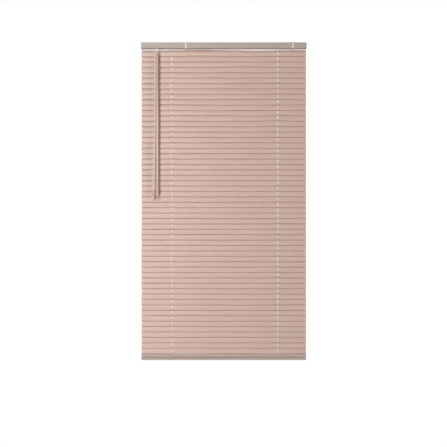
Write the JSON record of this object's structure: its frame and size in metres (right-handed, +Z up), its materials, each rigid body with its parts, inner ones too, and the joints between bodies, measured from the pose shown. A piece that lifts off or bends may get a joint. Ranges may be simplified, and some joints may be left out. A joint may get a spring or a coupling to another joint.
{
  "type": "venetian blind",
  "caption": "Horizontal blind of crowned slats hung on cord ladders under a U-shaped headrail, tilted by a hexagonal wand and lifted by cords.",
  "frame": {"origin": "on the plane that the clips' top faces screw to, straight above the slats' tilt axes, halfway along the headrail", "axes": "+X along the slats to the right as seen from the room, -Y towards the room, +Z up"},
  "size_m": [0.656, 0.041, 1.262],
  "materials": {
    "slat_enamel": "satin enamel",
    "headrail_enamel": "satin enamel",
    "rail_enamel": "satin enamel",
    "mechanism": "moulded plastic with a steel rod",
    "wand_plastic": "gloss",
    "clip_enamel": "white enamel",
    "steel": "zinc plated",
    "cord": "braided cord"
  },
  "bodies": {
    "headrail": {"headrail": "headrail_enamel"},
    "tilt_shaft": {"tilt_shaft": "mechanism"},
    "tilt_wand": {"tilt_wand": "wand_plastic"},
    "bottom_rail": {"bottom_rail": "rail_enamel"},
    "slat_01": {"slat_01": "slat_enamel"},
    "slat_02": {"slat_02": "slat_enamel"},
    "slat_03": {"slat_03": "slat_enamel"},
    "slat_04": {"slat_04": "slat_enamel"},
    "slat_05": {"slat_05": "slat_enamel"},
    "slat_06": {"slat_06": "slat_enamel"},
    "slat_07": {"slat_07": "slat_enamel"},
    "slat_08": {"slat_08": "slat_enamel"},
    "slat_09": {"slat_09": "slat_enamel"},
    "slat_10": {"slat_10": "slat_enamel"},
    "slat_11": {"slat_11": "slat_enamel"},
    "slat_12": {"slat_12": "slat_enamel"},
    "slat_13": {"slat_13": "slat_enamel"},
    "slat_14": {"slat_14": "slat_enamel"},
    "slat_15": {"slat_15": "slat_enamel"},
    "slat_16": {"slat_16": "slat_enamel"},
    "slat_17": {"slat_17": "slat_enamel"},
    "slat_18": {"slat_18": "slat_enamel"},
    "slat_19": {"slat_19": "slat_enamel"},
    "slat_20": {"slat_20": "slat_enamel"},
    "slat_21": {"slat_21": "slat_enamel"},
    "slat_22": {"slat_22": "slat_enamel"},
    "slat_23": {"slat_23": "slat_enamel"},
    "slat_24": {"slat_24": "slat_enamel"},
    "slat_25": {"slat_25": "slat_enamel"},
    "slat_26": {"slat_26": "slat_enamel"},
    "slat_27": {"slat_27": "slat_enamel"},
    "slat_28": {"slat_28": "slat_enamel"},
    "slat_29": {"slat_29": "slat_enamel"},
    "slat_30": {"slat_30": "slat_enamel"},
    "slat_31": {"slat_31": "slat_enamel"},
    "slat_32": {"slat_32": "slat_enamel"},
    "slat_33": {"slat_33": "slat_enamel"},
    "slat_34": {"slat_34": "slat_enamel"},
    "slat_35": {"slat_35": "slat_enamel"},
    "slat_36": {"slat_36": "slat_enamel"},
    "slat_37": {"slat_37": "slat_enamel"},
    "slat_38": {"slat_38": "slat_enamel"},
    "slat_39": {"slat_39": "slat_enamel"},
    "slat_40": {"slat_40": "slat_enamel"},
    "slat_41": {"slat_41": "slat_enamel"},
    "slat_42": {"slat_42": "slat_enamel"},
    "slat_43": {"slat_43": "slat_enamel"},
    "slat_44": {"slat_44": "slat_enamel"},
    "slat_45": {"slat_45": "slat_enamel"},
    "slat_46": {"slat_46": "slat_enamel"},
    "slat_47": {"slat_47": "slat_enamel"},
    "slat_48": {"slat_48": "slat_enamel"},
    "slat_49": {"slat_49": "slat_enamel"},
    "slat_50": {"slat_50": "slat_enamel"},
    "slat_51": {"slat_51": "slat_enamel"},
    "slat_52": {"slat_52": "slat_enamel"},
    "slat_53": {"slat_53": "slat_enamel"},
    "slat_54": {"slat_54": "slat_enamel"},
    "slat_55": {"slat_55": "slat_enamel"},
    "slat_56": {"slat_56": "slat_enamel"}
  },
  "joints": [
    {"name": "wand_turn", "type": "hinge", "parent": "headrail", "child": "tilt_wand", "pos_m": [-0.2638, -0.019, -0.3], "axis": [0, 0, -1], "range_deg": [0, 2880]},
    {"name": "shaft_turn", "type": "hinge", "parent": "headrail", "child": "tilt_shaft", "pos_m": [0, -0.0055, -0.0123], "axis": [-1, 0, 0], "range_deg": [0, 144]},
    {"name": "rail_tilt", "type": "hinge", "parent": "headrail", "child": "bottom_rail", "pos_m": [0, 0, -1.2491], "axis": [-1, 0, 0], "range_deg": [0, 79.2]},
    {"name": "slat_01_tilt", "type": "hinge", "parent": "headrail", "child": "slat_01", "pos_m": [0, 0, -0.0404], "axis": [-1, 0, 0], "range_deg": [0, 144]},
    {"name": "slat_02_tilt", "type": "hinge", "parent": "headrail", "child": "slat_02", "pos_m": [0, 0, -0.0619], "axis": [-1, 0, 0], "range_deg": [0, 144]},
    {"name": "slat_03_tilt", "type": "hinge", "parent": "headrail", "child": "slat_03", "pos_m": [0, 0, -0.0834], "axis": [-1, 0, 0], "range_deg": [0, 144]},
    {"name": "slat_04_tilt", "type": "hinge", "parent": "headrail", "child": "slat_04", "pos_m": [0, 0, -0.1049], "axis": [-1, 0, 0], "range_deg": [0, 144]},
    {"name": "slat_05_tilt", "type": "hinge", "parent": "headrail", "child": "slat_05", "pos_m": [0, 0, -0.1264], "axis": [-1, 0, 0], "range_deg": [0, 144]},
    {"name": "slat_06_tilt", "type": "hinge", "parent": "headrail", "child": "slat_06", "pos_m": [0, 0, -0.1479], "axis": [-1, 0, 0], "range_deg": [0, 144]},
    {"name": "slat_07_tilt", "type": "hinge", "parent": "headrail", "child": "slat_07", "pos_m": [0, 0, -0.1694], "axis": [-1, 0, 0], "range_deg": [0, 144]},
    {"name": "slat_08_tilt", "type": "hinge", "parent": "headrail", "child": "slat_08", "pos_m": [0, 0, -0.1909], "axis": [-1, 0, 0], "range_deg": [0, 144]},
    {"name": "slat_09_tilt", "type": "hinge", "parent": "headrail", "child": "slat_09", "pos_m": [0, 0, -0.2124], "axis": [-1, 0, 0], "range_deg": [0, 144]},
    {"name": "slat_10_tilt", "type": "hinge", "parent": "headrail", "child": "slat_10", "pos_m": [0, 0, -0.2339], "axis": [-1, 0, 0], "range_deg": [0, 144]},
    {"name": "slat_11_tilt", "type": "hinge", "parent": "headrail", "child": "slat_11", "pos_m": [0, 0, -0.2554], "axis": [-1, 0, 0], "range_deg": [0, 144]},
    {"name": "slat_12_tilt", "type": "hinge", "parent": "headrail", "child": "slat_12", "pos_m": [0, 0, -0.2769], "axis": [-1, 0, 0], "range_deg": [0, 144]},
    {"name": "slat_13_tilt", "type": "hinge", "parent": "headrail", "child": "slat_13", "pos_m": [0, 0, -0.2984], "axis": [-1, 0, 0], "range_deg": [0, 144]},
    {"name": "slat_14_tilt", "type": "hinge", "parent": "headrail", "child": "slat_14", "pos_m": [0, 0, -0.3199], "axis": [-1, 0, 0], "range_deg": [0, 144]},
    {"name": "slat_15_tilt", "type": "hinge", "parent": "headrail", "child": "slat_15", "pos_m": [0, 0, -0.3414], "axis": [-1, 0, 0], "range_deg": [0, 144]},
    {"name": "slat_16_tilt", "type": "hinge", "parent": "headrail", "child": "slat_16", "pos_m": [0, 0, -0.3629], "axis": [-1, 0, 0], "range_deg": [0, 144]},
    {"name": "slat_17_tilt", "type": "hinge", "parent": "headrail", "child": "slat_17", "pos_m": [0, 0, -0.3844], "axis": [-1, 0, 0], "range_deg": [0, 144]},
    {"name": "slat_18_tilt", "type": "hinge", "parent": "headrail", "child": "slat_18", "pos_m": [0, 0, -0.4059], "axis": [-1, 0, 0], "range_deg": [0, 144]},
    {"name": "slat_19_tilt", "type": "hinge", "parent": "headrail", "child": "slat_19", "pos_m": [0, 0, -0.4274], "axis": [-1, 0, 0], "range_deg": [0, 144]},
    {"name": "slat_20_tilt", "type": "hinge", "parent": "headrail", "child": "slat_20", "pos_m": [0, 0, -0.4489], "axis": [-1, 0, 0], "range_deg": [0, 144]},
    {"name": "slat_21_tilt", "type": "hinge", "parent": "headrail", "child": "slat_21", "pos_m": [0, 0, -0.4704], "axis": [-1, 0, 0], "range_deg": [0, 144]},
    {"name": "slat_22_tilt", "type": "hinge", "parent": "headrail", "child": "slat_22", "pos_m": [0, 0, -0.4919], "axis": [-1, 0, 0], "range_deg": [0, 144]},
    {"name": "slat_23_tilt", "type": "hinge", "parent": "headrail", "child": "slat_23", "pos_m": [0, 0, -0.5134], "axis": [-1, 0, 0], "range_deg": [0, 144]},
    {"name": "slat_24_tilt", "type": "hinge", "parent": "headrail", "child": "slat_24", "pos_m": [0, 0, -0.5349], "axis": [-1, 0, 0], "range_deg": [0, 144]},
    {"name": "slat_25_tilt", "type": "hinge", "parent": "headrail", "child": "slat_25", "pos_m": [0, 0, -0.5564], "axis": [-1, 0, 0], "range_deg": [0, 144]},
    {"name": "slat_26_tilt", "type": "hinge", "parent": "headrail", "child": "slat_26", "pos_m": [0, 0, -0.5779], "axis": [-1, 0, 0], "range_deg": [0, 144]},
    {"name": "slat_27_tilt", "type": "hinge", "parent": "headrail", "child": "slat_27", "pos_m": [0, 0, -0.5994], "axis": [-1, 0, 0], "range_deg": [0, 144]},
    {"name": "slat_28_tilt", "type": "hinge", "parent": "headrail", "child": "slat_28", "pos_m": [0, 0, -0.6209], "axis": [-1, 0, 0], "range_deg": [0, 144]},
    {"name": "slat_29_tilt", "type": "hinge", "parent": "headrail", "child": "slat_29", "pos_m": [0, 0, -0.6424], "axis": [-1, 0, 0], "range_deg": [0, 144]},
    {"name": "slat_30_tilt", "type": "hinge", "parent": "headrail", "child": "slat_30", "pos_m": [0, 0, -0.6639], "axis": [-1, 0, 0], "range_deg": [0, 144]},
    {"name": "slat_31_tilt", "type": "hinge", "parent": "headrail", "child": "slat_31", "pos_m": [0, 0, -0.6854], "axis": [-1, 0, 0], "range_deg": [0, 144]},
    {"name": "slat_32_tilt", "type": "hinge", "parent": "headrail", "child": "slat_32", "pos_m": [0, 0, -0.7069], "axis": [-1, 0, 0], "range_deg": [0, 144]},
    {"name": "slat_33_tilt", "type": "hinge", "parent": "headrail", "child": "slat_33", "pos_m": [0, 0, -0.7284], "axis": [-1, 0, 0], "range_deg": [0, 144]},
    {"name": "slat_34_tilt", "type": "hinge", "parent": "headrail", "child": "slat_34", "pos_m": [0, 0, -0.7499], "axis": [-1, 0, 0], "range_deg": [0, 144]},
    {"name": "slat_35_tilt", "type": "hinge", "parent": "headrail", "child": "slat_35", "pos_m": [0, 0, -0.7714], "axis": [-1, 0, 0], "range_deg": [0, 144]},
    {"name": "slat_36_tilt", "type": "hinge", "parent": "headrail", "child": "slat_36", "pos_m": [0, 0, -0.7929], "axis": [-1, 0, 0], "range_deg": [0, 144]},
    {"name": "slat_37_tilt", "type": "hinge", "parent": "headrail", "child": "slat_37", "pos_m": [0, 0, -0.8144], "axis": [-1, 0, 0], "range_deg": [0, 144]},
    {"name": "slat_38_tilt", "type": "hinge", "parent": "headrail", "child": "slat_38", "pos_m": [0, 0, -0.8359], "axis": [-1, 0, 0], "range_deg": [0, 144]},
    {"name": "slat_39_tilt", "type": "hinge", "parent": "headrail", "child": "slat_39", "pos_m": [0, 0, -0.8574], "axis": [-1, 0, 0], "range_deg": [0, 144]},
    {"name": "slat_40_tilt", "type": "hinge", "parent": "headrail", "child": "slat_40", "pos_m": [0, 0, -0.8789], "axis": [-1, 0, 0], "range_deg": [0, 144]},
    {"name": "slat_41_tilt", "type": "hinge", "parent": "headrail", "child": "slat_41", "pos_m": [0, 0, -0.9004], "axis": [-1, 0, 0], "range_deg": [0, 144]},
    {"name": "slat_42_tilt", "type": "hinge", "parent": "headrail", "child": "slat_42", "pos_m": [0, 0, -0.9219], "axis": [-1, 0, 0], "range_deg": [0, 144]},
    {"name": "slat_43_tilt", "type": "hinge", "parent": "headrail", "child": "slat_43", "pos_m": [0, 0, -0.9434], "axis": [-1, 0, 0], "range_deg": [0, 144]},
    {"name": "slat_44_tilt", "type": "hinge", "parent": "headrail", "child": "slat_44", "pos_m": [0, 0, -0.9649], "axis": [-1, 0, 0], "range_deg": [0, 144]},
    {"name": "slat_45_tilt", "type": "hinge", "parent": "headrail", "child": "slat_45", "pos_m": [0, 0, -0.9864], "axis": [-1, 0, 0], "range_deg": [0, 144]},
    {"name": "slat_46_tilt", "type": "hinge", "parent": "headrail", "child": "slat_46", "pos_m": [0, 0, -1.0079], "axis": [-1, 0, 0], "range_deg": [0, 144]},
    {"name": "slat_47_tilt", "type": "hinge", "parent": "headrail", "child": "slat_47", "pos_m": [0, 0, -1.0294], "axis": [-1, 0, 0], "range_deg": [0, 144]},
    {"name": "slat_48_tilt", "type": "hinge", "parent": "headrail", "child": "slat_48", "pos_m": [0, 0, -1.0509], "axis": [-1, 0, 0], "range_deg": [0, 144]},
    {"name": "slat_49_tilt", "type": "hinge", "parent": "headrail", "child": "slat_49", "pos_m": [0, 0, -1.0724], "axis": [-1, 0, 0], "range_deg": [0, 144]},
    {"name": "slat_50_tilt", "type": "hinge", "parent": "headrail", "child": "slat_50", "pos_m": [0, 0, -1.0939], "axis": [-1, 0, 0], "range_deg": [0, 144]},
    {"name": "slat_51_tilt", "type": "hinge", "parent": "headrail", "child": "slat_51", "pos_m": [0, 0, -1.1154], "axis": [-1, 0, 0], "range_deg": [0, 144]},
    {"name": "slat_52_tilt", "type": "hinge", "parent": "headrail", "child": "slat_52", "pos_m": [0, 0, -1.1369], "axis": [-1, 0, 0], "range_deg": [0, 144]},
    {"name": "slat_53_tilt", "type": "hinge", "parent": "headrail", "child": "slat_53", "pos_m": [0, 0, -1.1584], "axis": [-1, 0, 0], "range_deg": [0, 144]},
    {"name": "slat_54_tilt", "type": "hinge", "parent": "headrail", "child": "slat_54", "pos_m": [0, 0, -1.1799], "axis": [-1, 0, 0], "range_deg": [0, 144]},
    {"name": "slat_55_tilt", "type": "hinge", "parent": "headrail", "child": "slat_55", "pos_m": [0, 0, -1.2014], "axis": [-1, 0, 0], "range_deg": [0, 144]},
    {"name": "slat_56_tilt", "type": "hinge", "parent": "headrail", "child": "slat_56", "pos_m": [0, 0, -1.2229], "axis": [-1, 0, 0], "range_deg": [0, 144]}
  ],
  "couplings": [
    {"joint": "shaft_turn", "follows": "wand_turn", "ratio": 0.05},
    {"joint": "rail_tilt", "follows": "wand_turn", "ratio": 0.0275},
    {"joint": "slat_01_tilt", "follows": "wand_turn", "ratio": 0.05},
    {"joint": "slat_02_tilt", "follows": "wand_turn", "ratio": 0.05},
    {"joint": "slat_03_tilt", "follows": "wand_turn", "ratio": 0.05},
    {"joint": "slat_04_tilt", "follows": "wand_turn", "ratio": 0.05},
    {"joint": "slat_05_tilt", "follows": "wand_turn", "ratio": 0.05},
    {"joint": "slat_06_tilt", "follows": "wand_turn", "ratio": 0.05},
    {"joint": "slat_07_tilt", "follows": "wand_turn", "ratio": 0.05},
    {"joint": "slat_08_tilt", "follows": "wand_turn", "ratio": 0.05},
    {"joint": "slat_09_tilt", "follows": "wand_turn", "ratio": 0.05},
    {"joint": "slat_10_tilt", "follows": "wand_turn", "ratio": 0.05},
    {"joint": "slat_11_tilt", "follows": "wand_turn", "ratio": 0.05},
    {"joint": "slat_12_tilt", "follows": "wand_turn", "ratio": 0.05},
    {"joint": "slat_13_tilt", "follows": "wand_turn", "ratio": 0.05},
    {"joint": "slat_14_tilt", "follows": "wand_turn", "ratio": 0.05},
    {"joint": "slat_15_tilt", "follows": "wand_turn", "ratio": 0.05},
    {"joint": "slat_16_tilt", "follows": "wand_turn", "ratio": 0.05},
    {"joint": "slat_17_tilt", "follows": "wand_turn", "ratio": 0.05},
    {"joint": "slat_18_tilt", "follows": "wand_turn", "ratio": 0.05},
    {"joint": "slat_19_tilt", "follows": "wand_turn", "ratio": 0.05},
    {"joint": "slat_20_tilt", "follows": "wand_turn", "ratio": 0.05},
    {"joint": "slat_21_tilt", "follows": "wand_turn", "ratio": 0.05},
    {"joint": "slat_22_tilt", "follows": "wand_turn", "ratio": 0.05},
    {"joint": "slat_23_tilt", "follows": "wand_turn", "ratio": 0.05},
    {"joint": "slat_24_tilt", "follows": "wand_turn", "ratio": 0.05},
    {"joint": "slat_25_tilt", "follows": "wand_turn", "ratio": 0.05},
    {"joint": "slat_26_tilt", "follows": "wand_turn", "ratio": 0.05},
    {"joint": "slat_27_tilt", "follows": "wand_turn", "ratio": 0.05},
    {"joint": "slat_28_tilt", "follows": "wand_turn", "ratio": 0.05},
    {"joint": "slat_29_tilt", "follows": "wand_turn", "ratio": 0.05},
    {"joint": "slat_30_tilt", "follows": "wand_turn", "ratio": 0.05},
    {"joint": "slat_31_tilt", "follows": "wand_turn", "ratio": 0.05},
    {"joint": "slat_32_tilt", "follows": "wand_turn", "ratio": 0.05},
    {"joint": "slat_33_tilt", "follows": "wand_turn", "ratio": 0.05},
    {"joint": "slat_34_tilt", "follows": "wand_turn", "ratio": 0.05},
    {"joint": "slat_35_tilt", "follows": "wand_turn", "ratio": 0.05},
    {"joint": "slat_36_tilt", "follows": "wand_turn", "ratio": 0.05},
    {"joint": "slat_37_tilt", "follows": "wand_turn", "ratio": 0.05},
    {"joint": "slat_38_tilt", "follows": "wand_turn", "ratio": 0.05},
    {"joint": "slat_39_tilt", "follows": "wand_turn", "ratio": 0.05},
    {"joint": "slat_40_tilt", "follows": "wand_turn", "ratio": 0.05},
    {"joint": "slat_41_tilt", "follows": "wand_turn", "ratio": 0.05},
    {"joint": "slat_42_tilt", "follows": "wand_turn", "ratio": 0.05},
    {"joint": "slat_43_tilt", "follows": "wand_turn", "ratio": 0.05},
    {"joint": "slat_44_tilt", "follows": "wand_turn", "ratio": 0.05},
    {"joint": "slat_45_tilt", "follows": "wand_turn", "ratio": 0.05},
    {"joint": "slat_46_tilt", "follows": "wand_turn", "ratio": 0.05},
    {"joint": "slat_47_tilt", "follows": "wand_turn", "ratio": 0.05},
    {"joint": "slat_48_tilt", "follows": "wand_turn", "ratio": 0.05},
    {"joint": "slat_49_tilt", "follows": "wand_turn", "ratio": 0.05},
    {"joint": "slat_50_tilt", "follows": "wand_turn", "ratio": 0.05},
    {"joint": "slat_51_tilt", "follows": "wand_turn", "ratio": 0.05},
    {"joint": "slat_52_tilt", "follows": "wand_turn", "ratio": 0.05},
    {"joint": "slat_53_tilt", "follows": "wand_turn", "ratio": 0.05},
    {"joint": "slat_54_tilt", "follows": "wand_turn", "ratio": 0.05},
    {"joint": "slat_55_tilt", "follows": "wand_turn", "ratio": 0.05},
    {"joint": "slat_56_tilt", "follows": "wand_turn", "ratio": 0.05}
  ]
}
